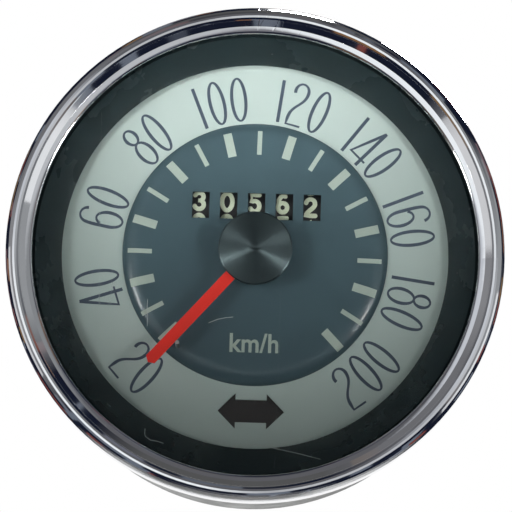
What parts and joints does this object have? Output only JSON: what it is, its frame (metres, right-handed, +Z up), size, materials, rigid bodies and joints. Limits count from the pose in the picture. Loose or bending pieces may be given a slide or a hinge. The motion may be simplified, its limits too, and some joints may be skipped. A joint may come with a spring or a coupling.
{
  "type": "panel speedometer",
  "caption": "Round chrome-bezelled vehicle speedometer with a red needle, a drum distance counter, an arrow telltale and a cable-driven magnetic movement.",
  "frame": {"origin": "centre of the bezel's rear face, where the instrument seats on the front of its panel", "axes": "+Y into the panel along the case's axis, +Z up the dial, so the dial faces -Y and +X is on the driver's right"},
  "size_m": [0.108, 0.0796, 0.108],
  "materials": {
    "chrome_plate": "polished chrome plate on brass",
    "clear_glass": "flat float glass, lightly scratched",
    "black_rubber": "matt moulded rubber",
    "dark_trim": "satin grey-black paint",
    "light_dial": "satin pale grey-green paint",
    "dark_dial": "satin slate paint",
    "telltale_lens": "dark tinted sheet, unlit",
    "white_plastic": "moulded white plastic",
    "black_plastic": "black moulded drum with printed figures",
    "gear_plastic": "undyed moulded gear plastic",
    "brass_plain": "turned brass",
    "bronze_plain": "sintered bronze",
    "zinc_steel": "zinc-plated steel",
    "zinc_casting": "die-cast zinc",
    "ground_steel": "ground steel",
    "cup_aluminium": "spun aluminium",
    "magnet_iron": "magnet alloy",
    "red_paint": "satin signal-red paint on aluminium sheet",
    "hub_paint": "dark spun aluminium",
    "bulb_glass": "small bayonet bulb"
  },
  "bodies": {
    "instrument": {"case_shell": "zinc_steel", "bezel_ring": "chrome_plate", "glass": "clear_glass", "glass_gasket": "black_rubber", "trim_ring": "dark_trim", "dial_ring": "light_dial", "dial_centre": "dark_dial", "telltale_filter": "telltale_lens", "telltale_tube": "white_plastic", "stop_pin": "brass_plain", "movement_frame": "zinc_casting", "top_bridge": "zinc_steel", "frame_screws": "zinc_steel", "field_cup": "zinc_steel", "spindle_bush": "bronze_plain", "cable_neck": "brass_plain", "mounting_studs": "zinc_steel", "ground_tab": "brass_plain", "lamp_holder_left": "zinc_steel", "lamp_holder_right": "zinc_steel", "lamp_holder_telltale": "zinc_steel", "lamp_contact_left": "brass_plain", "lamp_contact_right": "brass_plain", "lamp_contact_telltale": "brass_plain", "bulb_left": "bulb_glass", "bulb_right": "bulb_glass", "bulb_telltale": "bulb_glass", "counter_frame": "zinc_steel", "counter_shaft": "ground_steel", "pinion_shaft": "ground_steel", "hairspring_stud": "brass_plain", "hairspring": "ground_steel"},
    "needle": {"needle_blade": "red_paint", "needle_weight": "brass_plain", "hub_cap": "hub_paint", "needle_spindle": "ground_steel", "drag_cup": "cup_aluminium", "hairspring_collet": "brass_plain"},
    "drive": {"drive_spindle": "ground_steel", "spindle_worm": "brass_plain", "spindle_clip": "ground_steel", "magnet": "magnet_iron"},
    "cross": {"cross_shaft": "ground_steel", "cross_wheel": "brass_plain", "cross_worm": "brass_plain"},
    "riser": {"riser_shaft": "ground_steel", "riser_wheel": "brass_plain", "riser_worm": "brass_plain"},
    "counter_drive": {"counter_gear": "gear_plastic", "friction_washer": "bronze_plain"},
    "units": {"units_drum": "black_plastic"},
    "tens": {"tens_drum": "black_plastic"},
    "hundreds": {"hundreds_drum": "black_plastic"},
    "thousands": {"thousands_drum": "black_plastic"},
    "ten_thousands": {"ten_thousands_drum": "black_plastic"},
    "pinion_1": {"carry_pinion_1": "gear_plastic"},
    "pinion_2": {"carry_pinion_2": "gear_plastic"},
    "pinion_3": {"carry_pinion_3": "gear_plastic"},
    "pinion_4": {"carry_pinion_4": "gear_plastic"}
  },
  "joints": [
    {"name": "needle_swing", "type": "hinge", "parent": "instrument", "child": "needle", "pos_m": [0, 0, 0.0015], "axis": [0, 1, 0], "range_deg": [0, 275], "stiffness_Nm_per_rad": 0.00002, "springref_deg": -28.65, "deforming": ["hairspring"]},
    {"name": "input_spin", "type": "hinge", "parent": "instrument", "child": "drive", "pos_m": [0, 0, 0.0015], "axis": [0, 1, 0], "continuous": true},
    {"name": "cross_spin", "type": "hinge", "parent": "instrument", "child": "cross", "pos_m": [0, 0.045, 0.0079], "axis": [1, 0, 0], "continuous": true},
    {"name": "riser_spin", "type": "hinge", "parent": "instrument", "child": "riser", "pos_m": [0.01705, 0, 0.002], "axis": [0, -1, 0], "continuous": true},
    {"name": "counter_gear_spin", "type": "hinge", "parent": "instrument", "child": "counter_drive", "pos_m": [0, 0.0144, 0.0119], "axis": [1, 0, 0], "continuous": true},
    {"name": "units_drum_spin", "type": "hinge", "parent": "instrument", "child": "units", "pos_m": [0, 0.0144, 0.0119], "axis": [1, 0, 0], "continuous": true},
    {"name": "tens_drum_spin", "type": "hinge", "parent": "instrument", "child": "tens", "pos_m": [0, 0.0144, 0.0119], "axis": [1, 0, 0], "continuous": true},
    {"name": "hundreds_drum_spin", "type": "hinge", "parent": "instrument", "child": "hundreds", "pos_m": [0, 0.0144, 0.0119], "axis": [1, 0, 0], "continuous": true},
    {"name": "thousands_drum_spin", "type": "hinge", "parent": "instrument", "child": "thousands", "pos_m": [0, 0.0144, 0.0119], "axis": [1, 0, 0], "continuous": true},
    {"name": "ten_thousands_drum_spin", "type": "hinge", "parent": "instrument", "child": "ten_thousands", "pos_m": [0, 0.0144, 0.0119], "axis": [1, 0, 0], "continuous": true},
    {"name": "pinion_1_spin", "type": "hinge", "parent": "instrument", "child": "pinion_1", "pos_m": [0, 0.0144, 0.0211], "axis": [1, 0, 0], "continuous": true},
    {"name": "pinion_2_spin", "type": "hinge", "parent": "instrument", "child": "pinion_2", "pos_m": [0, 0.0144, 0.0211], "axis": [1, 0, 0], "continuous": true},
    {"name": "pinion_3_spin", "type": "hinge", "parent": "instrument", "child": "pinion_3", "pos_m": [0, 0.0144, 0.0211], "axis": [1, 0, 0], "continuous": true},
    {"name": "pinion_4_spin", "type": "hinge", "parent": "instrument", "child": "pinion_4", "pos_m": [0, 0.0144, 0.0211], "axis": [1, 0, 0], "continuous": true}
  ],
  "couplings": [
    {"joint": "cross_spin", "follows": "input_spin", "ratio": 0.05},
    {"joint": "riser_spin", "follows": "input_spin", "ratio": 0.0025},
    {"joint": "counter_gear_spin", "follows": "input_spin", "ratio": 0.0001},
    {"joint": "tens_drum_spin", "follows": "units_drum_spin", "ratio": 0.1},
    {"joint": "hundreds_drum_spin", "follows": "units_drum_spin", "ratio": 0.01},
    {"joint": "thousands_drum_spin", "follows": "units_drum_spin", "ratio": 0.001},
    {"joint": "ten_thousands_drum_spin", "follows": "units_drum_spin", "ratio": 0.0001},
    {"joint": "pinion_1_spin", "follows": "units_drum_spin", "ratio": -0.25},
    {"joint": "pinion_2_spin", "follows": "units_drum_spin", "ratio": -0.025},
    {"joint": "pinion_3_spin", "follows": "units_drum_spin", "ratio": -0.0025},
    {"joint": "pinion_4_spin", "follows": "units_drum_spin", "ratio": -0.00025}
  ]
}
